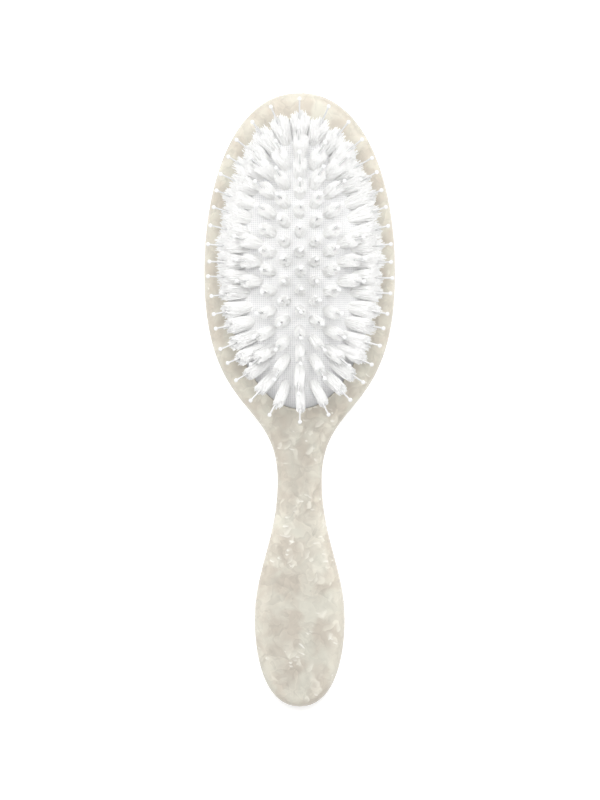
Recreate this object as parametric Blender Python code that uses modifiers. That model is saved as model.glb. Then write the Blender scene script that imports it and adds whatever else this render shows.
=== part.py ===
"""Oval cushion hairbrush, lying on its back: the handle points to -Y and the bristles point up.

Metres, +Z up. The origin is under the middle of the brush, on the surface that its flat back rests on.
"""

import math

import bmesh
import bpy
from mathutils import Matrix, Vector

MM = 0.001

# Body: one slab of acetate sheet, sawn to outline, rounded and polished
BODY_LENGTH = 225 * MM
HEAD_WIDTH = 70 * MM
HEAD_WIDEST_BELOW_CUSHION = 3.2 * MM
NECK_WIDTH = 16.2 * MM
NECK_CLEARANCE = 26.5 * MM
HANDLE_WIDTH = 33 * MM
HANDLE_WIDEST_FROM_END = 32 * MM
SLAB_THICKNESS = 10 * MM
EDGE_RADIUS = 3.5 * MM

# How far the outline's curve handles pull, as shares of the spans that they lie along
TOP_PULL_SHARE = 0.68
HEAD_UPPER_PULL_SHARE = 0.52
HEAD_LOWER_PULL_SHARE = 0.70
NECK_UPPER_PULL_SHARE = 0.40
NECK_LOWER_PULL_SHARE = 0.42
HANDLE_UPPER_PULL_SHARE = 0.36
HANDLE_LOWER_PULL_SHARE = 0.32
END_PULL_SHARE = 0.86

# Cushion: a moulded rubber bubble, and the pocket in the head that holds it by its flange
CUSHION_WIDTH = 53.6 * MM
CUSHION_LENGTH = 105.4 * MM
RIM_AT_TOP = 10.1 * MM
CUSHION_RISE = 10 * MM
RUBBER_THICKNESS = 1.4 * MM
FLANGE_WIDTH = 1.2 * MM
POCKET_FLOOR = 3.5 * MM
LIP_THICKNESS = 1.6 * MM
FIT_GAP = 0.3 * MM

# Shape of the bubble: how its contours and its height run from the edge to the crown
END_SPREAD_POWER = 1.37
SHOULDER_POWER = 3.0
SHOULDER_ROOT = 1.5
CONTOUR_SHARES = (0.03, 0.12, 0.25, 0.45, 0.72)
BUBBLE_SIDES = 32

# Tufts: an oval ring of them round a staggered field, as far in from the bubble's edge and from the ring
RING_TUFTS = 40
RING_INSET_SIDE = 6.5 * MM
RING_INSET_END = 7.1 * MM
FIELD_INSET_SIDE = 4.35 * MM
FIELD_INSET_END = 4.6 * MM
COLUMN_PITCHES_TO_EDGE = 3.16
ROW_PITCHES_TO_EDGE = 11.78
RING_LEAN = math.radians(43)
LEAN_POWER = 2.0
FAN_POWER = 1.75

# One tuft: three locks of bristle round a ball-tipped pin, through a hole in the rubber
LOCK_COUNT = 3
LOCK_LENGTH = 14.5 * MM
LOCK_ROOT_RADIUS = 0.40 * MM
LOCK_TIP_RADIUS = 0.30 * MM
LOCK_ROOT_OFFSET = 0.85 * MM
LOCK_TIP_OFFSET = 1.35 * MM
PIN_LENGTH = 19.0 * MM
PIN_RADIUS = 0.40 * MM
BALL_RADIUS = 0.90 * MM
HOLE_SIDES = 4

# Backing: the sheet under the rubber that holds the tufts, in strips, with the ring's parted from the field's
BACKING_THICKNESS = 1.6 * MM
ROOT_SHARE = 0.6
PARTING_INSET_SIDE = 2.2 * MM
PARTING_INSET_END = 2.4 * MM
PARTING_GAP = 1.0 * MM
FIELD_END_SHARE = 0.96
OUTER_LAND = 2.3 * MM
RING_SEGMENTS = 8
FIELD_STEPS = 6
RIM_STEPS = 4

# Cutters run past what they cut by this much, and vertices nearer than the weld distance are one
CUT_OVERRUN = 2.0 * MM
WELD_DISTANCE = 0.03 * MM

# What follows from the sizes above
HALF_LENGTH = BODY_LENGTH / 2
HALF_WIDTH = CUSHION_WIDTH / 2
HALF_CUSHION_LENGTH = CUSHION_LENGTH / 2
CUSHION_CENTRE_FROM_TOP = RIM_AT_TOP + HALF_CUSHION_LENGTH
CUSHION_Y = HALF_LENGTH - CUSHION_CENTRE_FROM_TOP
HEAD_WIDEST_FROM_TOP = CUSHION_CENTRE_FROM_TOP + HEAD_WIDEST_BELOW_CUSHION
NECK_FROM_TOP = RIM_AT_TOP + CUSHION_LENGTH + NECK_CLEARANCE
HANDLE_WIDEST_FROM_TOP = BODY_LENGTH - HANDLE_WIDEST_FROM_END
RING_HALF_WIDTH = HALF_WIDTH - RING_INSET_SIDE
RING_HALF_LENGTH = HALF_CUSHION_LENGTH - RING_INSET_END
FIELD_HALF_WIDTH = RING_HALF_WIDTH - FIELD_INSET_SIDE
FIELD_HALF_LENGTH = RING_HALF_LENGTH - FIELD_INSET_END
COLUMN_PITCH = FIELD_HALF_WIDTH / COLUMN_PITCHES_TO_EDGE
ROW_PITCH = FIELD_HALF_LENGTH / ROW_PITCHES_TO_EDGE
PARTING_HALF_WIDTH = RING_HALF_WIDTH - PARTING_INSET_SIDE
PARTING_HALF_LENGTH = RING_HALF_LENGTH - PARTING_INSET_END
HOLE_RADIUS = (LOCK_ROOT_OFFSET + LOCK_ROOT_RADIUS + FIT_GAP) / math.cos(math.pi / HOLE_SIDES)
BACKING_DEPTH = RUBBER_THICKNESS + FIT_GAP
ROOT_DEPTH = BACKING_DEPTH + BACKING_THICKNESS * ROOT_SHARE
GROOVE_TOP = SLAB_THICKNESS - LIP_THICKNESS
FLANGE_TOP = GROOVE_TOP - FIT_GAP
GROOVE_BOTTOM = FLANGE_TOP - RUBBER_THICKNESS - FIT_GAP

ACETATE = ("acetate", (0.72, 0.68, 0.62), 0.25)
RUBBER = ("rubber", (0.80, 0.80, 0.81), 0.75)
NYLON = ("nylon", (0.92, 0.92, 0.92), 0.35)


def clear_scene():
    for obj in list(bpy.data.objects):
        bpy.data.objects.remove(obj)


def new_collection(name):
    collection = bpy.data.collections.new(name)
    bpy.context.scene.collection.children.link(collection)
    return collection


def finish(name, colour, roughness):
    """A plain plastic or rubber material."""
    material = bpy.data.materials.get(name) or bpy.data.materials.new(name)
    material.use_nodes = True
    shader = material.node_tree.nodes["Principled BSDF"]
    shader.inputs["Base Color"].default_value = (*colour, 1)
    shader.inputs["Roughness"].default_value = roughness
    shader.inputs["Metallic"].default_value = 0
    return material


def add_part(name, mesh, look):
    part = bpy.data.objects.new(name, mesh)
    part.data.materials.append(finish(*look))
    parts.objects.link(part)
    return part


def add_helper(name, mesh):
    """A cutter or a piece that a Boolean joins on: it isn't a part itself."""
    helper = bpy.data.objects.new(name, mesh)
    helper.hide_render = True
    helper.display_type = "WIRE"
    cutters.objects.link(helper)
    return helper


def mesh_from(bm, name):
    mesh = bpy.data.meshes.new(name)
    bm.to_mesh(mesh)
    bm.free()
    return mesh


def combine(part, other, operation):
    modifier = part.modifiers.new(f"{operation.lower()} {other.name}", "BOOLEAN")
    modifier.operation = operation
    modifier.object = other
    modifier.solver = "EXACT"
    return modifier


def baked(part):
    """The part's mesh with its modifiers applied."""
    bpy.context.view_layer.update()
    graph = bpy.context.evaluated_depsgraph_get()
    return bpy.data.meshes.new_from_object(part.evaluated_get(graph))


# Brush body

def outline_points():
    """The outline's curve points, clockwise from the top: place, handle before and handle after."""
    top, end = HALF_LENGTH, -HALF_LENGTH
    head_x, head_y = HEAD_WIDTH / 2, top - HEAD_WIDEST_FROM_TOP
    neck_x, neck_y = NECK_WIDTH / 2, top - NECK_FROM_TOP
    handle_x, handle_y = HANDLE_WIDTH / 2, top - HANDLE_WIDEST_FROM_TOP
    shoulder, flank, butt = head_y - neck_y, neck_y - handle_y, handle_y - end
    top_pull = head_x * TOP_PULL_SHARE
    end_pull = handle_x * END_PULL_SHARE
    right = [
        (head_x, head_y, HEAD_WIDEST_FROM_TOP * HEAD_UPPER_PULL_SHARE, shoulder * HEAD_LOWER_PULL_SHARE),
        (neck_x, neck_y, shoulder * NECK_UPPER_PULL_SHARE, flank * NECK_LOWER_PULL_SHARE),
        (handle_x, handle_y, flank * HANDLE_UPPER_PULL_SHARE, butt * HANDLE_LOWER_PULL_SHARE),
    ]
    points = [((0, top), (-top_pull, top), (top_pull, top))]
    points += [((x, y), (x, y + up), (x, y - down)) for x, y, up, down in right]
    points += [((0, end), (end_pull, end), (-end_pull, end))]
    points += [((-x, y), (-x, y - down), (-x, y + up)) for x, y, up, down in reversed(right)]
    return points


def slab_mesh():
    """The outline as a slab whose long edges are rounded top and bottom, on Z = 0."""
    curve = bpy.data.curves.new("slab outline", "CURVE")
    curve.dimensions = "2D"
    curve.fill_mode = "BOTH"
    curve.resolution_u = 12
    curve.extrude = SLAB_THICKNESS / 2 - EDGE_RADIUS
    curve.bevel_depth = EDGE_RADIUS
    curve.bevel_resolution = 3
    curve.offset = -EDGE_RADIUS
    points = outline_points()
    spline = curve.splines.new("BEZIER")
    spline.use_cyclic_u = True
    spline.bezier_points.add(len(points) - 1)
    for bezier, (place, before, after) in zip(spline.bezier_points, points):
        bezier.handle_left_type = bezier.handle_right_type = "FREE"
        bezier.co = (*place, 0)
        bezier.handle_left = (*before, 0)
        bezier.handle_right = (*after, 0)
    drawn = bpy.data.objects.new("slab outline", curve)
    cutters.objects.link(drawn)
    mesh = baked(drawn)
    bpy.data.objects.remove(drawn)

    bm = bmesh.new()
    bm.from_mesh(mesh)
    bmesh.ops.remove_doubles(bm, verts=bm.verts, dist=WELD_DISTANCE)
    bmesh.ops.translate(bm, verts=bm.verts, vec=(0, 0, SLAB_THICKNESS / 2))
    bmesh.ops.recalc_face_normals(bm, faces=bm.faces)
    return mesh_from(bm, "brush_body")


def oval_cylinder(name, half_width, half_length, bottom, top):
    """An upright oval cylinder on the cushion's centre, between two heights."""
    bm = bmesh.new()
    bmesh.ops.create_cone(bm, cap_ends=True, segments=BUBBLE_SIDES, radius1=1, radius2=1, depth=1)
    place = Matrix.Translation((0, CUSHION_Y, (bottom + top) / 2))
    size = Matrix.Diagonal((half_width, half_length, top - bottom, 1))
    bm.transform(place @ size)
    return add_helper(name, mesh_from(bm, name))


def make_body():
    """The slab with the cushion's pocket, which has a groove round it for the cushion's flange."""
    body = add_part("brush_body", slab_mesh(), ACETATE)
    mouth = FIT_GAP
    groove = FLANGE_WIDTH + FIT_GAP
    pocket = oval_cylinder(
        "pocket cutter", HALF_WIDTH + mouth, HALF_CUSHION_LENGTH + mouth,
        POCKET_FLOOR, SLAB_THICKNESS + CUT_OVERRUN)
    channel = oval_cylinder(
        "groove cutter", HALF_WIDTH + groove, HALF_CUSHION_LENGTH + groove,
        GROOVE_BOTTOM, GROOVE_TOP)
    combine(body, pocket, "DIFFERENCE")
    combine(body, channel, "DIFFERENCE")
    return body


# Bubble of the cushion

def contour(share):
    """The bubble's level contour as half width, half length and height: share 0 is its edge, 1 its crown."""
    across = HALF_WIDTH * (1 - share)
    along = HALF_CUSHION_LENGTH * (1 - share ** END_SPREAD_POWER)
    rise = (1 - (1 - share) ** SHOULDER_POWER) ** (1 / SHOULDER_ROOT)
    return Vector((across, along, SLAB_THICKNESS + CUSHION_RISE * rise))


def surface_height(x, y):
    """Height of the bubble's facets at a place measured from the cushion's centre."""
    rings = [contour(share) for share in (0, *CONTOUR_SHARES, 1)]
    outer, inner = next(
        pair for pair in zip(rings, rings[1:])
        if pair[1].x == 0 or math.hypot(x / pair[1].x, y / pair[1].y) >= 1)
    low, high = 0.0, 1.0
    for _ in range(40):
        middle = (low + high) / 2
        across, along, _height = outer.lerp(inner, middle)
        inside = math.hypot(x / across, y / along) < 1
        low, high = (middle, high) if inside else (low, middle)
    return outer.lerp(inner, low).z


def oval_surface(rings, crown):
    """An open surface through level ovals, each a half width, half length and height, closed at its crown."""
    bm = bmesh.new()
    loops = []
    for half_width, half_length, height in rings:
        turns = (2 * math.pi * i / BUBBLE_SIDES for i in range(BUBBLE_SIDES))
        loops.append([
            bm.verts.new((half_width * math.cos(a), CUSHION_Y + half_length * math.sin(a), height))
            for a in turns])
    top = bm.verts.new((0, CUSHION_Y, crown))
    for lower, upper in zip(loops, loops[1:]):
        for i in range(BUBBLE_SIDES):
            j = (i + 1) % BUBBLE_SIDES
            bm.faces.new((lower[i], lower[j], upper[j], upper[i]))
    for i in range(BUBBLE_SIDES):
        bm.faces.new((loops[-1][i], loops[-1][(i + 1) % BUBBLE_SIDES], top))
    bm.normal_update()
    return mesh_from(bm, "bubble")


def thicken(part, thickness):
    """Gives an open surface its wall, inwards."""
    wall = part.modifiers.new("wall", "SOLIDIFY")
    wall.thickness = thickness
    wall.offset = -1
    wall.use_even_offset = True
    return wall


def make_cushion(tufts):
    """The rubber bubble: a flange in the body's groove, a neck up through the pocket's mouth, and a dome."""
    rings = [
        (HALF_WIDTH + FLANGE_WIDTH, HALF_CUSHION_LENGTH + FLANGE_WIDTH, FLANGE_TOP),
        (HALF_WIDTH, HALF_CUSHION_LENGTH, FLANGE_TOP),
        (HALF_WIDTH, HALF_CUSHION_LENGTH, SLAB_THICKNESS)]
    rings += [contour(share) for share in CONTOUR_SHARES]
    cushion = add_part("cushion_membrane", oval_surface(rings, SLAB_THICKNESS + CUSHION_RISE), RUBBER)
    thicken(cushion, RUBBER_THICKNESS)
    combine(cushion, hole_cutter(tufts), "DIFFERENCE")
    return cushion


# Where the tufts stand and how they lean

def ring_places():
    """Tuft places evenly spaced along the oval ring, anticlockwise from its handle end."""
    fine = 20 * RING_TUFTS
    turns = [2 * math.pi * i / fine - math.pi / 2 for i in range(fine + 1)]
    path = [Vector((RING_HALF_WIDTH * math.cos(a), RING_HALF_LENGTH * math.sin(a))) for a in turns]
    walked = [0.0]
    for before, after in zip(path, path[1:]):
        walked.append(walked[-1] + (after - before).length)
    step = walked[-1] / RING_TUFTS
    return [path[min(range(fine), key=lambda i: abs(walked[i] - n * step))] for n in range(RING_TUFTS)]


def field_rows():
    """Tuft places inside the ring by row: each row uses every other column, and the next the ones between."""
    last_row = int(ROW_PITCHES_TO_EDGE)
    last_column = int(COLUMN_PITCHES_TO_EDGE)
    rows = {}
    for row in range(-last_row, last_row + 1):
        columns = [
            n for n in range(-last_column, last_column + 1)
            if (n + row) % 2 and math.hypot(n / COLUMN_PITCHES_TO_EDGE, row / ROW_PITCHES_TO_EDGE) <= 1]
        rows[row] = [Vector((n * COLUMN_PITCH, row * ROW_PITCH)) for n in columns]
    return rows


def tuft_at(place):
    """A tuft's foot on the rubber and the way it leans: upright at the crown, fanned out at the ring."""
    out = math.hypot(place.x / RING_HALF_WIDTH, place.y / RING_HALF_LENGTH)
    lean = RING_LEAN * min(out, 1) ** LEAN_POWER
    fan = Vector((place.x / RING_HALF_WIDTH ** FAN_POWER, place.y / RING_HALF_LENGTH ** FAN_POWER))
    if fan.length > 0:
        fan.normalize()
    axis = Vector((fan.x * math.sin(lean), fan.y * math.sin(lean), math.cos(lean)))
    foot = Vector((place.x, CUSHION_Y + place.y, surface_height(place.x, place.y)))
    return foot, axis


def stand_on(origin, axis):
    """Turns +Z to the axis and keeps +X level, at the origin."""
    up = axis.normalized()
    along = (Vector((0, 1, 0)) - up * up.y).normalized()
    across = along.cross(up)
    turned = Matrix((across, along, up)).transposed().to_4x4()
    return Matrix.Translation(origin) @ turned


def hole_cutter(tufts):
    """A cutter for each tuft, all in one mesh."""
    bm = bmesh.new()
    for foot, axis in tufts:
        depth = BACKING_DEPTH + CUT_OVERRUN
        middle = foot + axis * (CUT_OVERRUN - depth) / 2
        bmesh.ops.create_cone(
            bm, cap_ends=True, segments=HOLE_SIDES, radius1=HOLE_RADIUS, radius2=HOLE_RADIUS,
            depth=depth + CUT_OVERRUN, matrix=stand_on(middle, axis))
    return add_helper("tuft hole cutters", mesh_from(bm, "tuft hole cutters"))


# Locks of bristle and pins

def add_lock(bm, root, tip):
    """One lock of bristle: a three-sided taper from its root to its tip."""
    bmesh.ops.create_cone(
        bm, cap_ends=True, segments=3, radius1=LOCK_ROOT_RADIUS, radius2=LOCK_TIP_RADIUS,
        depth=(tip - root).length, matrix=stand_on((root + tip) / 2, tip - root))


def pin_mesh():
    """A four-sided pin with a ball tip, turned about +Z, with its root at the origin."""
    total = PIN_LENGTH + ROOT_DEPTH
    ball = total - BALL_RADIUS
    neck = math.sqrt(BALL_RADIUS ** 2 - PIN_RADIUS ** 2)
    profile = [(0, total), (BALL_RADIUS, ball), (PIN_RADIUS, ball - neck), (PIN_RADIUS, 0), (0, 0)]
    mesh = bpy.data.meshes.new("pin profile")
    mesh.from_pydata([(r, 0, z) for r, z in profile], [(i, i + 1) for i in range(len(profile) - 1)], [])
    turned = bpy.data.objects.new("pin profile", mesh)
    cutters.objects.link(turned)
    screw = turned.modifiers.new("turn", "SCREW")
    screw.steps = screw.render_steps = 4
    screw.use_merge_vertices = True
    screw.merge_threshold = WELD_DISTANCE
    pin = baked(turned)
    bpy.data.objects.remove(turned)
    return pin


def strands(name, tufts, pin):
    """The locks and pins of these tufts, in one mesh, ready to be fused to their strip of backing."""
    bm = bmesh.new()
    for foot, axis in tufts:
        frame = stand_on(foot, axis)
        for n in range(LOCK_COUNT):
            turn = math.pi / 2 + 2 * math.pi * n / LOCK_COUNT
            side = Vector((math.cos(turn), math.sin(turn), 0))
            root = frame @ (side * LOCK_ROOT_OFFSET - Vector((0, 0, ROOT_DEPTH)))
            tip = frame @ (side * LOCK_TIP_OFFSET + Vector((0, 0, LOCK_LENGTH)))
            add_lock(bm, root, tip)
        pin_copy = pin.copy()
        pin_copy.transform(frame @ Matrix.Translation((0, 0, -ROOT_DEPTH)))
        bm.from_mesh(pin_copy)
        bpy.data.meshes.remove(pin_copy)
    return add_helper(name, mesh_from(bm, name))


# Strips of backing with their tufts

def backing_patch(name, steps, place):
    """A patch of the sheet under the rubber: place() lays out its grid, which sinks along the tufts' lean."""
    bm = bmesh.new()
    bmesh.ops.create_grid(bm, x_segments=steps, y_segments=1, size=1)
    leans = []
    for vert in bm.verts:
        vert.co, axis = tuft_at(Vector(place(vert.co.x, vert.co.y)))
        leans.append(axis)
    bmesh.ops.triangulate(bm, faces=bm.faces)
    bm.normal_update()
    for vert, axis in zip(bm.verts, leans):
        vert.co -= axis * (BACKING_DEPTH / axis.dot(vert.normal))
    return mesh_from(bm, name)


def make_strip(name, patch, tufts, pin):
    """One strip of backing with its tufts fused on."""
    strip = add_part(name, patch, NYLON)
    thicken(strip, BACKING_THICKNESS)
    combine(strip, strands(f"{name} strands", tufts, pin), "UNION")
    return strip


def row_groups(rows):
    """The field's rows in pairs from both ends, and what is left in the middle together."""
    last = max(rows)
    below = [(row, row + 1) for row in range(-last, -1, 2)]
    above = [(-second, -first) for first, second in reversed(below)]
    paired = {row for pair in below + above for row in pair}
    return below + [tuple(row for row in rows if row not in paired)] + above


def make_field_strips(pin):
    """Strips across the field, each with two or three rows of tufts, inside the parting oval."""
    rows = {row: places for row, places in field_rows().items() if places}
    groups = row_groups(rows)
    half_width = PARTING_HALF_WIDTH - PARTING_GAP / 2
    half_length = PARTING_HALF_LENGTH - PARTING_GAP / 2
    edges = [(group[0] - 0.5) * ROW_PITCH for group in groups[1:]]
    edges = [-half_length * FIELD_END_SHARE] + edges + [half_length * FIELD_END_SHARE]
    for number, group in enumerate(groups):
        low = edges[number] + FIT_GAP / 2
        high = edges[number + 1] - FIT_GAP / 2

        def place(u, v):
            y = low + (high - low) * (v + 1) / 2
            return u * half_width * math.sqrt(1 - (y / half_length) ** 2), y

        name = f"bristle_row_{number + 1:02d}"
        tufts = [tuft_at(foot) for row in group for foot in rows[row]]
        make_strip(name, backing_patch(name, FIELD_STEPS, place), tufts, pin)


def make_rim_strips(pin):
    """Segments of the ring round the field, each with as many tufts as the next."""
    inner = Vector((PARTING_HALF_WIDTH + PARTING_GAP / 2, PARTING_HALF_LENGTH + PARTING_GAP / 2))
    outer = Vector((RING_HALF_WIDTH + OUTER_LAND, RING_HALF_LENGTH + OUTER_LAND))
    places = ring_places()
    each = RING_TUFTS // RING_SEGMENTS
    for segment in range(RING_SEGMENTS):
        first = segment * each - each // 2
        held = [places[(first + n) % RING_TUFTS] for n in range(-1, each + 1)]
        start, end = (
            math.atan2((a.y + b.y) / RING_HALF_LENGTH, (a.x + b.x) / RING_HALF_WIDTH)
            for a, b in (held[:2], held[-2:]))
        sweep = (end - start) % (2 * math.pi)

        def place(u, v):
            oval = inner.lerp(outer, (1 - v) / 2)
            margin = FIT_GAP / 2 / oval.x
            turn = start + margin + (sweep - 2 * margin) * (u + 1) / 2
            return oval.x * math.cos(turn), oval.y * math.sin(turn)

        name = f"rim_bristles_{segment + 1:02d}"
        tufts = [tuft_at(foot) for foot in held[1:-1]]
        make_strip(name, backing_patch(name, RIM_STEPS, place), tufts, pin)


def shade(part):
    """Round surfaces look smooth, and edges stay crisp."""
    part.data.shade_smooth()
    part.data.set_sharp_from_angle(angle=math.radians(35))


clear_scene()
parts = new_collection("oval cushion hairbrush")
cutters = new_collection("cutters")
field = [place for places in field_rows().values() for place in places]
all_tufts = [tuft_at(place) for place in ring_places() + field]
make_body()
make_cushion(all_tufts)
turned_pin = pin_mesh()
make_field_strips(turned_pin)
make_rim_strips(turned_pin)
for made in parts.objects:
    shade(made)
print(f"{len(all_tufts)} tufts in {len(parts.objects)} parts")
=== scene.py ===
# %% [markdown]
# # An oval cushion hairbrush of marbled acetate
#
# The brush lies on its back and is looked at from straight above. It has five kinds of piece: a polished
# acetate body, a rubber cushion faced with woven cloth, a hundred tufts of white nylon bristle, a
# ball-tipped pin in each tuft, and the flexible backing that holds their roots. The solid model fixes every
# size and place. This script dresses it: each piece is made again with its real surface, in metres, where
# the solid model has it.

# %% Load the frame
import math
from functools import partial

import bmesh
import bpy
from mathutils import Matrix, Vector
from mathutils.geometry import interpolate_bezier
from mathutils.kdtree import KDTree
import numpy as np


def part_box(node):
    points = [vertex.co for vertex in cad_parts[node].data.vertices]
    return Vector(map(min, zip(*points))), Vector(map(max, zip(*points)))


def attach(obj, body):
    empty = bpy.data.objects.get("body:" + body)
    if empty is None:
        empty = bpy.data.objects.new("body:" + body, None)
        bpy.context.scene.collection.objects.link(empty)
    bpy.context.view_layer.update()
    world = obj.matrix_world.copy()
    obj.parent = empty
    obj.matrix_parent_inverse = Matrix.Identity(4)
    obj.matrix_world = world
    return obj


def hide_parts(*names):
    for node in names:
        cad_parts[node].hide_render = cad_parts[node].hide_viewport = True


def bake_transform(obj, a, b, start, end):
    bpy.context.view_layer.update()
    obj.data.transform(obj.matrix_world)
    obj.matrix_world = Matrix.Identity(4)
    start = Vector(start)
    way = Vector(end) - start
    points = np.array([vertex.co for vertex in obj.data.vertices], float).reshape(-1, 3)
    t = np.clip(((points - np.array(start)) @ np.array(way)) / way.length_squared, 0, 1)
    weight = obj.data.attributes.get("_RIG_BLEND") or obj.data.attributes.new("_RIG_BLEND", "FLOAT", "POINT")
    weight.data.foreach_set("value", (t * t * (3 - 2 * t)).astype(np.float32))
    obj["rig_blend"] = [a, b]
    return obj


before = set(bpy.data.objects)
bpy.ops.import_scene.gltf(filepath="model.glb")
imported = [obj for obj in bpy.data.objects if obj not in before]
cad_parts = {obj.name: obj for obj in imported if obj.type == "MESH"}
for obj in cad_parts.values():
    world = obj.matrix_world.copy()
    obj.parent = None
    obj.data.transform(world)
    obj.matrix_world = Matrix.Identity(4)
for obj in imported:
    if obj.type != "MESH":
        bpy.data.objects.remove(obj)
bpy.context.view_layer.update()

MM = 0.001
low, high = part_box("brush_body")
BODY_LENGTH = high.y - low.y
HEAD_WIDTH = high.x - low.x
SLAB_THICKNESS = high.z - low.z
print(f"body {BODY_LENGTH / MM:.1f} x {HEAD_WIDTH / MM:.1f} x {SLAB_THICKNESS / MM:.1f} mm")

# %% [markdown]
# ## Small helpers
#
# Materials and Geometry Nodes are both trees of nodes. One function adds a node to either, with its
# settings, and fills its inputs with values or with other nodes. Colours are written in hex, as on a
# screen, and the renderer works in linear ones.

# %% Helpers for nodes, colours and meshes
def fill(tree, node, inputs):
    """Gives inputs a value or a link: a list in their order, a dictionary by their name or number."""
    for key, value in inputs.items() if isinstance(inputs, dict) else enumerate(inputs):
        if isinstance(value, bpy.types.Node):
            value = next(output for output in value.outputs if output.enabled)
        if isinstance(value, bpy.types.NodeSocket):
            tree.links.new(value, node.inputs[key])
        else:
            node.inputs[key].default_value = value


def add_node(tree, kind, inputs=(), operation=None, **settings):
    """A node with its inputs and settings. Its kind is written without its family, such as "ShaderNode"."""
    families = ("GeometryNode", "ShaderNode", "FunctionNode", "Node")
    node = tree.nodes.new(next(family + kind for family in families if hasattr(bpy.types, family + kind)))
    if operation:
        node.operation = operation
    for key, value in settings.items():
        setattr(node, key, value)
    fill(tree, node, inputs)
    return node


def linear(hex_colour):
    """A screen colour such as "d2ccc2" as linear red, green, blue and alpha."""
    channels = [int(hex_colour[i:i + 2], 16) / 255 for i in (0, 2, 4)]
    curve = [c / 12.92 if c <= 0.04045 else ((c + 0.055) / 1.055) ** 2.4 for c in channels]
    return (*curve, 1)


def new_material(name):
    """An empty material, a function that adds a node to it, and one that fills its shader's inputs."""
    material = bpy.data.materials.new(name)
    material.use_nodes = True
    tree = material.node_tree
    return material, partial(add_node, tree), partial(fill, tree, tree.nodes["Principled BSDF"])


def add_piece(name, data, material=None):
    """An object in the scene: a piece of the brush or the stage, a lamp or the camera."""
    piece = bpy.data.objects.new(name, data)
    bpy.context.scene.collection.objects.link(piece)
    if material:
        data.materials.clear()
        data.materials.append(material)
    return piece


def mesh_from(bm, name):
    """The bmesh as a mesh. The bmesh is freed."""
    mesh = bpy.data.meshes.new(name)
    bm.to_mesh(mesh)
    bm.free()
    return mesh


def plain_mesh(piece):
    """The piece's mesh as its modifiers leave it."""
    bpy.context.view_layer.update()
    graph = bpy.context.evaluated_depsgraph_get()
    return bpy.data.meshes.new_from_object(piece.evaluated_get(graph))


def settle(piece):
    """Makes what the modifiers show the piece's own mesh, and takes the modifiers off."""
    mesh = plain_mesh(piece)
    piece.modifiers.clear()
    piece.data = mesh
    print(f"{piece.name}: {len(mesh.polygons)} faces")


def thicken(piece, thickness, even=False):
    """Gives an open surface a wall on its inner side."""
    wall = piece.modifiers.new("wall", "SOLIDIFY")
    wall.thickness = thickness
    wall.offset = -1
    wall.use_even_offset = even
    settle(piece)


def shade(mesh, crisp_angle):
    """Round surfaces look smooth, and edges past the angle stay crisp."""
    mesh.shade_smooth()
    mesh.set_sharp_from_angle(angle=math.radians(crisp_angle))


# %% [markdown]
# ## The cushion's shape
#
# The cushion is an oval bubble. Its level contours run from its edge to its crown: each gets narrower in
# the same share, but keeps more of its length at first, so the crown is a ridge along the brush. The
# shoulder rises steeply and then flattens, as a rubber skin over an air pocket does. Everything that stands
# on it asks these functions where the surface is.

# %% Contours of the cushion
CUSHION_WIDTH = 53.6 * MM
CUSHION_LENGTH = 105.4 * MM
RIM_AT_TOP = 10.1 * MM
CUSHION_RISE = 10 * MM
END_SPREAD_POWER = 1.37
SHOULDER_POWER = 3.0
SHOULDER_ROOT = 1.5
HALVINGS = 40
HALF_WIDTH = CUSHION_WIDTH / 2
HALF_LENGTH = CUSHION_LENGTH / 2
CUSHION_Y = high.y - RIM_AT_TOP - HALF_LENGTH


def contour(share):
    """Half width, half length and height of a level contour: share 0 is the edge and 1 the crown."""
    across = HALF_WIDTH * (1 - share)
    along = HALF_LENGTH * (1 - share ** END_SPREAD_POWER)
    rise = (1 - (1 - share) ** SHOULDER_POWER) ** (1 / SHOULDER_ROOT)
    return across, along, SLAB_THICKNESS + CUSHION_RISE * rise


def surface_height(x, y):
    """Height of the cushion at a place measured from its centre."""
    low_share, high_share = 0.0, 1.0
    for _halving in range(HALVINGS):
        share = (low_share + high_share) / 2
        across, along, _height = contour(share)
        inside = math.hypot(x / across, y / along) < 1
        low_share, high_share = (share, high_share) if inside else (low_share, share)
    return contour(low_share)[2]


print(f"crown at {contour(1)[2] / MM:.1f} mm, centre {CUSHION_Y / MM:.1f} mm up the brush")

# %% [markdown]
# ## The acetate body
#
# Such a body is sawn from a 10 mm sheet of cellulose acetate, its long edges are rounded over on a router,
# and it is polished in a tumbling drum. In Blender that is a flat curve with an extrude and a bevel: eight
# curve points are enough for the outline. The pocket for the cushion is cut with a Boolean, whose cutter is
# turned like a plug: floor, straight wall, the groove for the cushion's flange, and a small round at the
# mouth. The flat faces are divided into small squares, so that the material has points to read the edge's
# glow from.

# %% Outline of the body
HEAD_WIDEST_BELOW_CUSHION = 3.2 * MM
NECK_WIDTH = 16.2 * MM
NECK_CLEARANCE = 26.5 * MM
HANDLE_WIDTH = 33 * MM
HANDLE_WIDEST_FROM_END = 32 * MM
EDGE_RADIUS = 3.5 * MM
WELD_DISTANCE = 0.01 * MM
TOP_PULL_SHARE = 0.68
END_PULL_SHARE = 0.86
# How far each curve point's handles reach, as shares of the lengths before and after it
HEAD_PULLS, NECK_PULLS, HANDLE_PULLS = (0.52, 0.70), (0.40, 0.42), (0.36, 0.32)
CURVE_STEPS = 36
ROUND_STEPS = 9
FLAT = 0.9999


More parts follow.
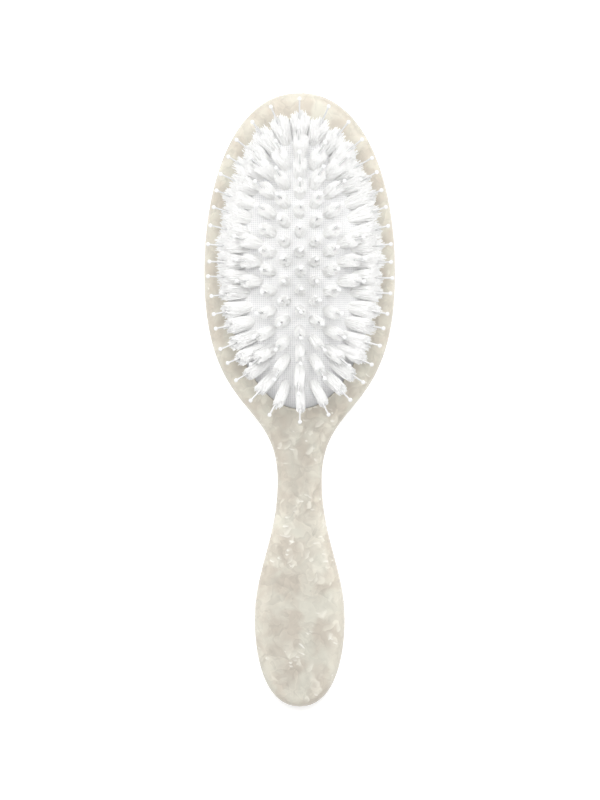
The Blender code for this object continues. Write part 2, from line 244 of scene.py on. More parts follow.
def outline_points():
    """The outline's curve points, clockwise from the top: place, handle before and handle after."""
    top, end = high.y, low.y
    head_x, head_y = HEAD_WIDTH / 2, CUSHION_Y - HEAD_WIDEST_BELOW_CUSHION
    neck_x, neck_y = NECK_WIDTH / 2, CUSHION_Y - HALF_LENGTH - NECK_CLEARANCE
    handle_x, handle_y = HANDLE_WIDTH / 2, end + HANDLE_WIDEST_FROM_END
    crown, shoulder, flank, butt = top - head_y, head_y - neck_y, neck_y - handle_y, handle_y - end
    right = [
        (x, y, before * up, after * down)
        for x, y, before, after, (up, down) in (
            (head_x, head_y, crown, shoulder, HEAD_PULLS), (neck_x, neck_y, shoulder, flank, NECK_PULLS),
            (handle_x, handle_y, flank, butt, HANDLE_PULLS))]
    top_pull, end_pull = head_x * TOP_PULL_SHARE, handle_x * END_PULL_SHARE
    points = [((0, top), (-top_pull, top), (top_pull, top))]
    points += [((x, y), (x, y + up), (x, y - down)) for x, y, up, down in right]
    points += [((0, end), (end_pull, end), (-end_pull, end))]
    points += [((-x, y), (-x, y - down), (-x, y + up)) for x, y, up, down in reversed(right)]
    return points


def slab_mesh():
    """The outline as a slab on Z = 0 with rounded long edges."""
    curve = bpy.data.curves.new("slab", "CURVE")
    curve.dimensions = "2D"
    curve.fill_mode = "BOTH"
    curve.resolution_u = CURVE_STEPS
    curve.extrude = SLAB_THICKNESS / 2 - EDGE_RADIUS
    curve.bevel_depth = EDGE_RADIUS
    curve.bevel_resolution = ROUND_STEPS
    curve.offset = -EDGE_RADIUS
    points = outline_points()
    spline = curve.splines.new("BEZIER")
    spline.use_cyclic_u = True
    spline.bezier_points.add(len(points) - 1)
    for bezier, (place, before, after) in zip(spline.bezier_points, points):
        bezier.handle_left_type = bezier.handle_right_type = "FREE"
        bezier.co = (*place, 0)
        bezier.handle_left = (*before, 0)
        bezier.handle_right = (*after, 0)
    drawn = add_piece("slab", curve)
    mesh = plain_mesh(drawn)
    bpy.data.objects.remove(drawn)
    bm = bmesh.new()
    bm.from_mesh(mesh)
    bmesh.ops.remove_doubles(bm, verts=bm.verts, dist=WELD_DISTANCE)
    bmesh.ops.translate(bm, verts=bm.verts, vec=(0, 0, SLAB_THICKNESS / 2))
    bmesh.ops.recalc_face_normals(bm, faces=bm.faces)
    for side in (1, -1):
        flat = [face for face in bm.faces if face.normal.z * side > FLAT]
        bmesh.ops.dissolve_faces(bm, faces=flat)
    grid_flats(bm)
    bm.to_mesh(mesh)
    bm.free()
    return mesh


GRID_STEP = 2.0 * MM


def grid_flats(bm):
    """Cuts the flat faces into small squares, so that a value stored on corners can vary across them."""
    for axis, reach in ((0, HEAD_WIDTH / 2), (1, BODY_LENGTH / 2)):
        for step in range(-int(reach / GRID_STEP), int(reach / GRID_STEP) + 1):
            faces = [face for face in bm.faces if abs(face.normal.z) > FLAT]
            near = {item for face in faces for item in (face, *face.edges, *face.verts)}
            place, normal = Vector((0, 0, 0)), Vector((0, 0, 0))
            place[axis] = (step + 0.5) * GRID_STEP
            normal[axis] = 1
            bmesh.ops.bisect_plane(
                bm, geom=list(near), plane_co=place, plane_no=normal, dist=WELD_DISTANCE / 10)


# %% Stacks of ovals, for the pocket's cutter and for the cushion
def oval_points(half_width, half_length, sides):
    """Points round an oval on the cushion's centre."""
    turns = [2 * math.pi * i / sides for i in range(sides)]
    return [(half_width * math.cos(a), CUSHION_Y + half_length * math.sin(a)) for a in turns]


def oval_stack(name, rings, sides, close_bottom=False, crown=None):
    """A surface through level ovals on the cushion's centre, each a half width, half length and height.

    It closes at its crown's height, or flat at its last oval. Its UV map is the surface laid flat.
    """
    bm = bmesh.new()
    loops = [
        [bm.verts.new((x, y, height)) for x, y in oval_points(across, along, sides)]
        for across, along, height in rings]
    for lower, upper in zip(loops, loops[1:]):
        for i in range(sides):
            j = (i + 1) % sides
            bm.faces.new((lower[i], lower[j], upper[j], upper[i]))
    top = bm.verts.new((0, CUSHION_Y, rings[-1][2] if crown is None else crown))
    for i in range(sides):
        bm.faces.new((loops[-1][i], loops[-1][(i + 1) % sides], top))
    if close_bottom:
        bottom = bm.verts.new((0, CUSHION_Y, rings[0][2]))
        for i in range(sides):
            bm.faces.new((loops[0][(i + 1) % sides], loops[0][i], bottom))
    flat = {top: Vector((0, 0))}
    for i in range(sides):
        walked, inner = 0.0, top
        for loop in reversed(loops):
            walked += (loop[i].co - inner.co).length
            inner = loop[i]
            out = Vector((inner.co.x, inner.co.y - CUSHION_Y))
            flat[inner] = out.normalized() * walked
    layer = bm.loops.layers.uv.new("cloth")
    for face in bm.faces:
        for corner in face.loops:
            corner[layer].uv = flat.get(corner.vert, Vector((0, 0)))
    bm.normal_update()
    return mesh_from(bm, name)


# %% [markdown]
# ## Mother-of-pearl acetate
#
# Cellulose acetate sheet of this kind is sliced from a block in which thin pearly sheets and chips lie at
# all angles. Soft clouds run through it, from warm beige to a cool pearl grey. Sheets overlap: the edge of
# each is a fine crease, sharp on one side and melting away on the other. Chips lie mostly in drifts: a few
# large flakes, and many small ones at other slants. The light they catch is painted into their cream tint,
# as a painted glint that is lighter on one side of each chip. Painted shade darkens the colour slowly along
# the brush, most where the head narrows.
#
# The material is a little translucent, so light that enters through a cut edge makes a cream-coloured band
# along it. No pattern in space can know where an edge is, so the mesh carries the strength of that glow on
# its points. The polish gives the eye a clear soft reflection, which faint ripples from the tumbling drum
# and dull patches from handling break up a little.

# %% Layers of the acetate's pattern
CLOUD_SIZE = 10 * MM
SMOOTH = {"interpolation_type": "SMOOTHSTEP"}


def cloud_layer(add, colour, place, seed, tint):
    """The colour with soft clouds of the tint in it."""
    cloud = add("TexNoise", {"Vector": place, "W": seed, "Scale": 1 / CLOUD_SIZE}, noise_dimensions="4D")
    share = add("MapRange", [cloud, 0.42, 0.6], **SMOOTH)
    return add("Mix", {0: share, 6: colour, 7: linear(tint)}, data_type="RGBA")


def sheet_layer(add, colour, place, spot, number, size, lowest):
    """Sheets that overlap: each is lighter towards its edge, and past that lies a shadow that melts away."""
    wave, patches = [
        add(
            "TexNoise", {"Vector": vector, "W": seed, "Scale": 1 / grain, "Detail": detail},
            noise_dimensions="4D")
        for vector, seed, grain, detail in (
            (place, 2.4 + 3.1 * number, size, 1.0), (spot, 8.2 + number, size * 1.3, 0.0))]
    seen, lit, over = [
        add("MapRange", values, **SMOOTH)
        for values in (
            [patches, 0.42, 0.56, 0.0, 1.0], [wave, 0.36, 0.495, 0.99, 1.03], [wave, 0.488, 0.512, 0.0, 1.0])]
    past = add("MapRange", [wave, 0.5, 0.6, lowest, 0.99])
    level = add("Mix", {0: over, 2: lit, 3: past})
    shown = add("Mix", {0: seen, 2: 1.0, 3: level})
    return add("VectorMath", {0: colour, "Scale": shown}, "SCALE")


def flake_glint_layer(add, colour, place, inside, layer):
    """Chips at one slant, in the drifts: cream tint with a painted glint that rises across each chip."""
    size, stretch, turn, share, strength, tint = layer
    slanted = add(
        "Mapping",
        {"Vector": place, "Rotation": (0, 0, math.radians(turn)), "Scale": (size * stretch, size, size)},
        vector_type="TEXTURE")
    cells = add("TexVoronoi", {"Vector": slanted, "Scale": 1.0})
    own = add("SeparateColor", [cells.outputs["Color"]])
    there = add("Math", [own.outputs["Green"], share], "LESS_THAN")
    # Painted glint: each chip is painted lighter on one side than the other, as a tilted flake catches the
    # light
    offset = add("VectorMath", [slanted, cells.outputs["Position"]], "SUBTRACT")
    tilt = add("VectorMath", [cells.outputs["Color"], (0.5, 0.5, 0.5)], "SUBTRACT")
    painted_lit_slope = add("VectorMath", [offset, tilt], "DOT_PRODUCT")
    out = cells.outputs["Distance"]
    amount, rise = [
        add("MapRange", values, **SMOOTH)
        for values in ([out, 0.52, 0.36, 0.0, strength], [painted_lit_slope, -0.12, 0.16, 0.2, 1.0])]
    for factor in (rise, there, inside):
        amount = add("Math", [amount, factor], "MULTIPLY")
    return add("Mix", {0: amount, 6: colour, 7: linear(tint)}, data_type="RGBA")


# %% Acetate
CLOUD_TINTS = ((2.9, "d9d6c9"), (6.3, "ccc4b7"))
# Size of the sheets and how dark the shadow past an edge gets
SHEETS = ((11 * MM, 0.89), (6.5 * MM, 0.9), (4 * MM, 0.92), (2.6 * MM, 0.95))
# Size, stretch, turn in degrees, share of cells with a chip, strength and tint of each layer of chips and
# their painted glint
FLAKE_GLINT_LAYERS = (
    (5.5 * MM, 1.5, 20, 0.55, 0.6, "e8e4d6"), (3.6 * MM, 1.5, 110, 0.45, 0.7, "ede9dc"),
    (2.2 * MM, 2.0, 60, 0.22, 0.7, "f3f0e5"), (1.2 * MM, 2.6, -15, 0.12, 0.75, "fbf9f2"))
DRIFT_SIZE = 11 * MM
# Place along the brush, reach and thickness
DRIFTS = ((-14 * MM, 10 * MM, 0.14), (-50 * MM, 20 * MM, 0.12), (-88 * MM, 22 * MM, 0.06))
# Size and reach of the noise that bends the pattern
WARPS = ((9 * MM, 5 * MM), (2.6 * MM, 1.6 * MM))
# Painted shade: where the colour is darkest along the brush, how far the darkening reaches, and how dark it
# gets
PAINTED_SHADE_CENTRE_Y = -16 * MM
PAINTED_SHADE_REACH = 36 * MM
PAINTED_SHADE_TONE = 0.87
MOTTLE = 0.08
POLISHED, DULL = 0.12, 0.22


def warped(add, spot):
    """Places shifted by soft noise, so that no pattern read at them has a straight line in it."""
    place = spot
    for size, reach in WARPS:
        wobble = add("TexNoise", {"Vector": spot, "Scale": 1 / size, "Detail": 1.0})
        shift = add("VectorMath", [wobble.outputs["Color"], (0.5, 0.5, 0.5)], "SUBTRACT")
        place = add("VectorMath", [shift, (reach,) * 3, place], "MULTIPLY_ADD")
    return place


def distance_from(add, value, centre):
    """How far the value is from the centre."""
    apart = add("Math", [value, centre], "SUBTRACT")
    return add("Math", [apart], "ABSOLUTE")


def flake_drifts(add, spot, along):
    """1 inside the drifts of flakes, thickest where the head narrows and across the upper handle."""
    gathered = add(
        "TexNoise", {"Vector": spot, "W": 4.1, "Scale": 1 / DRIFT_SIZE, "Detail": 1.0},
        noise_dimensions="4D")
    for centre, reach, amount in DRIFTS:
        apart = distance_from(add, along, centre)
        thick = add("MapRange", [apart, reach, reach * 0.5, 0.0, amount], **SMOOTH)
        gathered = add("Math", [gathered, thick], "ADD")
    return add("MapRange", [gathered, 0.5, 0.63], **SMOOTH)


def acetate():
    material, add, finish = new_material("Mother-of-pearl cellulose acetate")
    spot = add("TexCoord").outputs["Object"]
    along = add("SeparateXYZ", [spot]).outputs["Y"]
    place = warped(add, spot)
    colour = linear("d8d3c6")
    for seed, tint in CLOUD_TINTS:
        colour = cloud_layer(add, colour, place, seed, tint)
    for number, (size, lowest) in enumerate(SHEETS):
        colour = sheet_layer(add, colour, place, spot, number, size, lowest)
    inside = flake_drifts(add, spot, along)
    for layer in FLAKE_GLINT_LAYERS:
        colour = flake_glint_layer(add, colour, place, inside, layer)

    # A fine mottle through the whole sheet, painted shade that darkens it slowly along the brush, and the
    # light that enters by its edges, painted in as a cream glow
    fine = add("TexNoise", {"Vector": place, "W": 9.4, "Scale": 1 / (2.2 * MM)}, noise_dimensions="4D")
    mottle = add("MapRange", {"Value": fine, 3: 1 - MOTTLE, 4: 1 + MOTTLE})
    apart = distance_from(add, along, PAINTED_SHADE_CENTRE_Y)
    tone = add("MapRange", [apart, 0.0, PAINTED_SHADE_REACH, PAINTED_SHADE_TONE, 1.0], **SMOOTH)
    glow = add("Attribute", attribute_name="edge_glow").outputs["Fac"]
    brighter = add("Math", [glow, 0.3, 1.0], "MULTIPLY_ADD")
    for level in (mottle, tone, brighter):
        colour = add("VectorMath", {0: colour, "Scale": level}, "SCALE")
    cream = add("Math", [glow, 0.35], "MULTIPLY")
    creamy = add("Mix", {0: cream, 6: colour, 7: linear("f4ecd9")}, data_type="RGBA")

    # The polish: dull patches from handling, and ripples a few thousandths of a millimetre deep
    worn = add("TexNoise", {"Vector": spot, "Scale": 1 / (7 * MM), "Detail": 4.0})
    gloss = add("MapRange", [worn, 0.3, 0.7, POLISHED, DULL])
    ripples = add("TexNoise", {"Vector": spot, "Scale": 1 / (5 * MM), "Detail": 1.0})
    bump = add("Bump", {"Strength": 0.4, "Distance": 0.02 * MM, "Height": ripples})
    finish({"Base Color": creamy, "Roughness": gloss, "Normal": bump, "IOR": 1.48})
    return material


# %% Make the body
POCKET_FLOOR = 3.5 * MM
LIP_THICKNESS = 1.6 * MM
RUBBER_THICKNESS = 1.4 * MM
FLANGE_WIDTH = 1.2 * MM
FIT_GAP = 0.3 * MM
MOUTH_RADIUS = 0.35 * MM
MOUTH_STEPS = 5
MOUTH_TURN = 84
BODY_CREASE = 35
CUT_OVERRUN = 2.0 * MM
OVAL_SIDES = 160
GROOVE_TOP = SLAB_THICKNESS - LIP_THICKNESS
FLANGE_TOP = GROOVE_TOP - FIT_GAP
GROOVE_BOTTOM = FLANGE_TOP - RUBBER_THICKNESS - FIT_GAP


def edge_oval(out, height):
    """An oval that far outside the cushion's edge."""
    return HALF_WIDTH + out, HALF_LENGTH + out, height


def pocket_cutter():
    groove = FIT_GAP + FLANGE_WIDTH
    rings = [
        edge_oval(FIT_GAP, POCKET_FLOOR), edge_oval(FIT_GAP, GROOVE_BOTTOM), edge_oval(groove, GROOVE_BOTTOM),
        edge_oval(groove, GROOVE_TOP), edge_oval(FIT_GAP, GROOVE_TOP)]
    for step in range(MOUTH_STEPS + 1):
        turn = math.radians(MOUTH_TURN) * step / MOUTH_STEPS
        out = FIT_GAP + MOUTH_RADIUS * (1 - math.cos(turn))
        rings.append(edge_oval(out, SLAB_THICKNESS - MOUTH_RADIUS * (1 - math.sin(turn))))
    rings.append((rings[-1][0], rings[-1][1], SLAB_THICKNESS + CUT_OVERRUN))
    return add_piece("pocket cutter", oval_stack("pocket cutter", rings, OVAL_SIDES, close_bottom=True))


def cut(piece, cutter):
    """Takes the cutter's shape out of the piece."""
    boolean = piece.modifiers.new("cut", "BOOLEAN")
    boolean.operation = "DIFFERENCE"
    boolean.solver = "EXACT"
    boolean.object = cutter
    settle(piece)
    bpy.data.objects.remove(cutter)


def keep_flats_flat(piece):
    """Rounded edges run smoothly into the flat faces: corners on a flat level point straight out of it."""
    mesh = piece.data
    shade(mesh, BODY_CREASE)
    wanted = []
    for loop in mesh.loops:
        level = mesh.vertices[loop.vertex_index].co.z
        side = (level > SLAB_THICKNESS - WELD_DISTANCE) - (level < WELD_DISTANCE)
        wanted.append((0, 0, side))
    mesh.normals_split_custom_set(wanted)


EDGE_GLOW, EDGE_GLOW_REACH = 0.65, 5.5 * MM
MOUTH_GLOW, MOUTH_GLOW_REACH = 0.45, 9 * MM
MOST_GLOW = 0.8
OUTLINE_STEPS = 150
MOUTH_POINTS = 1200


def store_edge_glow(piece):
    """Gives each point its share of the light that enters by the outline and by the pocket's mouth."""
    outline = []
    points = outline_points()
    for (start, _before, after), (end, before, _after) in zip(points, points[1:] + points[:1]):
        stretch = [Vector(place) for place in (start, after, before, end)]
        outline += interpolate_bezier(*stretch, OUTLINE_STEPS)
    across, along, _height = edge_oval(FIT_GAP, 0)
    mouth = oval_points(across, along, MOUTH_POINTS)
    lines = []
    for line, strength, reach in (
            (outline, EDGE_GLOW, EDGE_GLOW_REACH), (mouth, MOUTH_GLOW, MOUTH_GLOW_REACH)):
        tree = KDTree(len(line))
        for index, point in enumerate(line):
            tree.insert((*point, 0), index)
        tree.balance()
        lines.append((tree, strength, reach))
    mesh = piece.data
    glow = []
    for vert in mesh.vertices:
        front = vert.co.z > SLAB_THICKNESS / 2
        shares = [
            strength * max(0, 1 - tree.find((vert.co.x, vert.co.y, 0))[2] / reach)
            for tree, strength, reach in (lines if front else lines[:1])]
        glow.append(min(sum(shares), MOST_GLOW))
    stored = mesh.attributes.new("edge_glow", "FLOAT", "POINT")
    stored.data.foreach_set("value", glow)
    print(f"{piece.name}: edge glow up to {max(glow):.2f}")


body = add_piece("acetate_body", slab_mesh(), acetate())
cut(body, pocket_cutter())
keep_flats_flat(body)
store_edge_glow(body)
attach(body, "handle_body")
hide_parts("brush_body")

# %% [markdown]
# ## Where the tufts stand
#
# Forty tufts stand evenly round an oval ring, and sixty in a staggered field inside it. They are upright at
# the crown and fan outwards to 43 degrees at the ring. The solid model groups them into rows and segments
# of the ring, so the pieces here keep those groups: each stands for the solid of the same number.

# %% Places and lean of the tufts
RING_TUFTS = 40
RING_HALF_WIDTH = HALF_WIDTH - 6.5 * MM
RING_HALF_LENGTH = HALF_LENGTH - 7.1 * MM
FIELD_HALF_WIDTH = RING_HALF_WIDTH - 4.35 * MM
FIELD_HALF_LENGTH = RING_HALF_LENGTH - 4.6 * MM
COLUMNS_TO_EDGE = 3.16
ROWS_TO_EDGE = 11.78
RING_SEGMENTS = 8
STEPS_TO_TUFT = 20
RING_LEAN = math.radians(43)
LEAN_POWER = 2.0
FAN_POWER = 1.75


def ring_places():
    """Tuft places evenly spaced along the oval ring, anticlockwise from its handle end."""
    fine = STEPS_TO_TUFT * RING_TUFTS
    turns = [2 * math.pi * i / fine - math.pi / 2 for i in range(fine + 1)]
    path = [Vector((RING_HALF_WIDTH * math.cos(a), RING_HALF_LENGTH * math.sin(a))) for a in turns]
    walked = [0.0]
    for before, after in zip(path, path[1:]):
        walked.append(walked[-1] + (after - before).length)
    step = walked[-1] / RING_TUFTS
    return [path[min(range(fine), key=lambda i: abs(walked[i] - n * step))] for n in range(RING_TUFTS)]


def field_rows():
    """Tuft places inside the ring by row: each row uses every other column, and the next the ones between."""
    column_pitch = FIELD_HALF_WIDTH / COLUMNS_TO_EDGE
    row_pitch = FIELD_HALF_LENGTH / ROWS_TO_EDGE
    last_row, last_column = int(ROWS_TO_EDGE), int(COLUMNS_TO_EDGE)
    rows = {}
    for row in range(-last_row, last_row + 1):
        columns = [
            n for n in range(-last_column, last_column + 1)
            if (n + row) % 2 and math.hypot(n / COLUMNS_TO_EDGE, row / ROWS_TO_EDGE) <= 1]
        rows[row] = [Vector((n * column_pitch, row * row_pitch)) for n in columns]
    return rows


def tuft_groups():
    """The places of each group's tufts, by the name of the solid that holds them."""
    rows = field_rows()
    last = max(rows)
    pairs = [(row, row + 1) for row in range(-last, -1, 2)]
    above = [(-second, -first) for first, second in reversed(pairs)]
    taken = {row for pair in pairs + above for row in pair}
    bands = pairs + [tuple(row for row in rows if row not in taken)] + above
    groups = {
        f"bristle_row_{n + 1:02d}": [place for row in band for place in rows[row]]
        for n, band in enumerate(bands)}
    ring = ring_places()
    each = RING_TUFTS // RING_SEGMENTS
    for segment in range(RING_SEGMENTS):
        first = segment * each - each // 2
        groups[f"rim_bristles_{segment + 1:02d}"] = [ring[(first + n) % RING_TUFTS] for n in range(each)]
    return groups


def tuft_at(place):
    """A tuft's foot on the cushion and the way it leans."""
    out = math.hypot(place.x / RING_HALF_WIDTH, place.y / RING_HALF_LENGTH)
    lean = RING_LEAN * min(out, 1) ** LEAN_POWER
    fan = Vector((place.x / RING_HALF_WIDTH ** FAN_POWER, place.y / RING_HALF_LENGTH ** FAN_POWER))
    if fan.length > 0:
        fan.normalize()
    axis = Vector((fan.x * math.sin(lean), fan.y * math.sin(lean), math.cos(lean)))
    return Vector((place.x, CUSHION_Y + place.y, surface_height(place.x, place.y))), axis


tufts = {name: [tuft_at(place) for place in places] for name, places in tuft_groups().items()}
print(f"{sum(len(group) for group in tufts.values())} tufts in {len(tufts)} groups")

# %% [markdown]
# ## The cushion
#
# The cushion is moulded rubber with a fine white cloth bonded on its face. A flange round its foot sits in
# the body's groove. It is an open surface through ovals, with a wall given by Solidify, and a round hole
# for each tuft. The cloth is a plain weave whose threads run along and across the brush. Its pattern is
# read from the UV map, in metres of cloth from the crown, so it follows the bubble down its sides. A real
# one has a thread every half millimetre or less: 0.75 mm is as fine as a picture of the whole brush can
# show.

# %% Woven cloth on rubber
THREAD_PITCH = 0.75 * MM


def woven_cloth():
    material, add, finish = new_material("Bonded plain-weave polyester cloth")
    spot = add("UVMap", uv_map="cloth")
    drift = add("TexNoise", {"Vector": spot, "Scale": 1 / (6 * MM), "Detail": 2})
    bent = add("VectorMath", [drift.outputs["Color"], (THREAD_PITCH * 0.5,) * 3, spot], "MULTIPLY_ADD")
    axes = add("SeparateXYZ", [bent])
    threads = []
    for axis in ("X", "Y"):
        turns = add("Math", [axes.outputs[axis], 2 * math.pi / THREAD_PITCH], "MULTIPLY")
        wave = add("Math", [turns], "SINE")
        threads.append(add("Math", [wave, 0.5, 0.5], "MULTIPLY_ADD"))
    both = add("Math", [threads[0], threads[1]], "ADD")
    weave = add("Math", [both, 0.5], "MULTIPLY")
    slubs = add("TexNoise", {"Vector": spot, "Scale": 1 / (1.4 * MM), "Detail": 3, "Roughness": 0.6})
    mixed = add("Math", [slubs, 0.5, weave], "MULTIPLY_ADD", use_clamp=True)
    tone = add("MapRange", [mixed, 0.25, 0.95])
    colour = add("Mix", {0: tone, 6: linear("dfdfe0"), 7: linear("f6f6f6")}, data_type="RGBA")
    bump = add("Bump", {"Strength": 0.5, "Distance": 0.15 * MM, "Height": weave})
    matt = add("MapRange", [mixed, 0.2, 1.0, 0.95, 0.78])
    finish({"Base Color": colour, "Roughness": matt, "Normal": bump, "Sheen Weight": 0.08})
    return material


# %% Make the cushion
CUSHION_STEPS = 40
SNUG = 0.2 * MM
HOLE_RADIUS = 1.75 * MM
HOLE_SIDES = 16
CUSHION_CREASE = 40
CLOTH_SOFTNESS = 0.93
FACES_UP = 0.1
SHOULDER_STEP_POWER = 1.6
BLEND_END_RISE = 0.62


def hole_cutter():
    """A round rod through the rubber at each tuft, all in one mesh."""
    bm = bmesh.new()
    reach = RUBBER_THICKNESS + CUT_OVERRUN
    for group in tufts.values():
        for foot, axis in group:
            turned = axis.to_track_quat("Z", "Y").to_matrix().to_4x4()
            bmesh.ops.create_cone(
                bm, cap_ends=True, segments=HOLE_SIDES, radius1=HOLE_RADIUS, radius2=HOLE_RADIUS,
                depth=2 * reach, matrix=Matrix.Translation(foot) @ turned)
    return add_piece("hole cutter", mesh_from(bm, "hole cutter"))


def lift_normals(mesh, share):
    """White cloth scatters light, so its slopes look less shaded: what faces up is turned up further."""
    lifted = []
    for corner in mesh.corner_normals:
        normal = corner.vector.copy()
        if normal.z > FACES_UP:
            normal = normal.lerp(Vector((0, 0, 1)), share).normalized()
        lifted.append(tuple(normal))
    mesh.normals_split_custom_set(lifted)


def make_cushion():
    rings = [edge_oval(FLANGE_WIDTH, FLANGE_TOP), edge_oval(SNUG, FLANGE_TOP)]
    rings += [edge_oval(SNUG, height) for height in (FLANGE_TOP + FIT_GAP, SLAB_THICKNESS - FIT_GAP)]
    rings += [contour((step / CUSHION_STEPS) ** SHOULDER_STEP_POWER) for step in range(CUSHION_STEPS)]
    shape = oval_stack("cushion", rings, OVAL_SIDES, crown=SLAB_THICKNESS + CUSHION_RISE)
    piece = add_piece("cushion_cover", shape, woven_cloth())
    thicken(piece, RUBBER_THICKNESS, even=True)
    cut(piece, hole_cutter())
    shade(piece.data, CUSHION_CREASE)
    lift_normals(piece.data, CLOTH_SOFTNESS)
    return piece


BLEND_START = (0, CUSHION_Y, SLAB_THICKNESS)
BLEND_END = (0, CUSHION_Y, SLAB_THICKNESS + CUSHION_RISE * BLEND_END_RISE)
cushion = make_cushion()
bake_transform(cushion, "handle_body", "tuft_field", start=BLEND_START, end=BLEND_END)
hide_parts("cushion_membrane")

# %% [markdown]
# ## The backing
#
# Under the rubber lies a thin flexible sheet, through which every tuft and pin is set before the cushion
# goes on. Little of it shows, only what can be seen past a tuft in its hole. It follows the rubber from
# below, so it is the cushion's own contours again, moved inwards along their normals by the rubber's
# thickness and a little air.

# %% Make the backing
BACKING_THICKNESS = 1.6 * MM
BACKING_DEPTH = RUBBER_THICKNESS + FIT_GAP
ROOT_SHARE = 0.6
ROOT_DEPTH = BACKING_DEPTH + BACKING_THICKNESS * ROOT_SHARE
BACKING_STEPS = 30
BACKING_SIDES = 96
BACKING_CREASE = 35
OUTER_LAND = 2.3 * MM


def moulded_sheet():
    """Flexible white plastic with a faint grain of its mould."""
    material, add, finish = new_material("Moulded flexible polythene sheet")
    spot = add("TexCoord").outputs["Object"]
    grain = add("TexNoise", {"Vector": spot, "Scale": 1 / (0.8 * MM), "Detail": 3})
    colour = add("Mix", {0: grain, 6: linear("f4f4f4"), 7: linear("fcfcfc")}, data_type="RGBA")
    bump = add("Bump", {"Strength": 0.3, "Distance": 0.05 * MM, "Height": grain})
    satin = add("MapRange", {"Value": grain, 3: 0.62, 4: 0.4})
    finish({"Base Color": colour, "Roughness": satin, "Normal": bump})
    return material


def make_backing():
    edge = 1 - (RING_HALF_WIDTH + OUTER_LAND) / HALF_WIDTH
    rings = [contour(edge + (1 - edge) * step / BACKING_STEPS) for step in range(BACKING_STEPS)]
    shape = oval_stack("backing", rings, BACKING_SIDES, crown=contour(1)[2])
    for vert, normal in zip(shape.vertices, [v.normal.copy() for v in shape.vertices]):
        vert.co -= normal * BACKING_DEPTH
    sheet = add_piece("backing_sheet", shape, moulded_sheet())
    thicken(sheet, BACKING_THICKNESS)
    shade(sheet.data, BACKING_CREASE)
    weighted = sheet.modifiers.new("flat faces stay flat", "WEIGHTED_NORMAL")
    weighted.keep_sharp = True
    settle(sheet)
    return sheet


backing = make_backing()
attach(backing, "tuft_field")

# %% [markdown]
# ## Tufts of bristle
#
# A tuft is a bunch of nylon filaments, folded and stapled into one hole. They leave it as a tight bundle,
# spread, and cling together in a few locks at the tip, no two of the same length. The real ones are thinner
# than a tenth of a millimetre, and nearly a thousand to a tuft: 400 thicker ones stand for them. Geometry
# Nodes make them from one point per tuft. The point is copied once per filament, each copy gets a root and
# a tip in the tuft's own axes, and a line of five points is bent from one to the other and given a
# four-sided section.
#
# Together they look like a soft white mass, since light soaks down between and through them. Normals turned
# part of the way up stand for that: hundreds of translucent layers would be too slow to trace.

# %% White nylon
def white_nylon(name, colour, roughness, spread):
    """Nylon: whole white with a satin gloss, faintly scuffed, and no two filaments quite alike."""
    material, add, finish = new_material(name)
    own = add("Attribute", attribute_name="strand_tone").outputs["Fac"]
    place = add("TexCoord").outputs["Object"]
    clouds = add("TexNoise", {"Vector": place, "Scale": 1 / (3 * MM), "Detail": 2})
    both = add("Math", [own, clouds], "ADD")
    level, rough = [
        add("MapRange", [both, 0.3, 1.7, first, last])
        for first, last in ((1 - spread, 1.0), (roughness * 1.15, roughness * 0.85))]
    white = add("VectorMath", {0: linear(colour)[:3], "Scale": level}, "SCALE")
    scuffs = add("TexNoise", {"Vector": place, "Scale": 1 / (0.6 * MM), "Detail": 1.0})
    bump = add("Bump", {"Strength": 0.3, "Distance": 0.01 * MM, "Height": scuffs})
    finish({"Base Color": white, "Roughness": rough, "Normal": bump, "IOR": 1.53})
    return material


# %% Geometry Nodes for a group of tufts
SOCKETS = {int: "NodeSocketInt", float: "NodeSocketFloat"}


def new_tree(name, sizes):
    """A Geometry Nodes tree with an input for each size, a function that adds a node, and the inputs."""
    tree = bpy.data.node_groups.new(name, "GeometryNodeTree")
    kinds = {"Geometry": "NodeSocketGeometry"}
    kinds.update({label: SOCKETS[type(size)] for label, size in sizes.items()})
    kinds["Finish"] = "NodeSocketMaterial"
    for label, kind in kinds.items():
        tree.interface.new_socket(label, in_out="INPUT", socket_type=kind)
    tree.interface.new_socket("Geometry", in_out="OUTPUT", socket_type="NodeSocketGeometry")
    return tree, partial(add_node, tree), tree.nodes.new("NodeGroupInput").outputs


def soften(add, mesh, share):
    """Light soaks down through white nylon. Turning the normals part of the way up stands for that."""
    smooth = add("SetShadeSmooth", [mesh])
    facing = add("InputNormal")
    lifted = add("Mix", {0: share, 4: facing, 5: (0, 0, 1)}, data_type="VECTOR")
    return add("SetMeshNormal", {"Mesh": smooth, "Custom Normal": lifted}, mode="FREE", domain="POINT")


def end_tree(add, geometry, finish):
    """Realizes what the tree has made, gives it its material and passes it out."""
    real = add("RealizeInstances", [geometry])
    finished = add("SetMaterial", {"Geometry": real, "Material": finish})
    add("GroupOutput", [finished])


STRAND_VALUES = ("strand_root", "strand_tip", "strand_bow")


def grow(piece, tree, sizes, finish):
    """Runs the tree on the piece with these sizes and this material, and keeps only what it has made."""
    modifier = piece.modifiers.new(tree.name, "NODES")
    modifier.node_group = tree
    values = {**sizes, "Finish": finish}
    for item in tree.interface.items_tree:
        if item.in_out == "INPUT" and item.name in values:
            modifier[item.identifier] = values[item.name]
    settle(piece)
    attributes = piece.data.attributes
    for name in (*STRAND_VALUES, "lean", "tuft"):
        if name in attributes:
            attributes.remove(attributes[name])


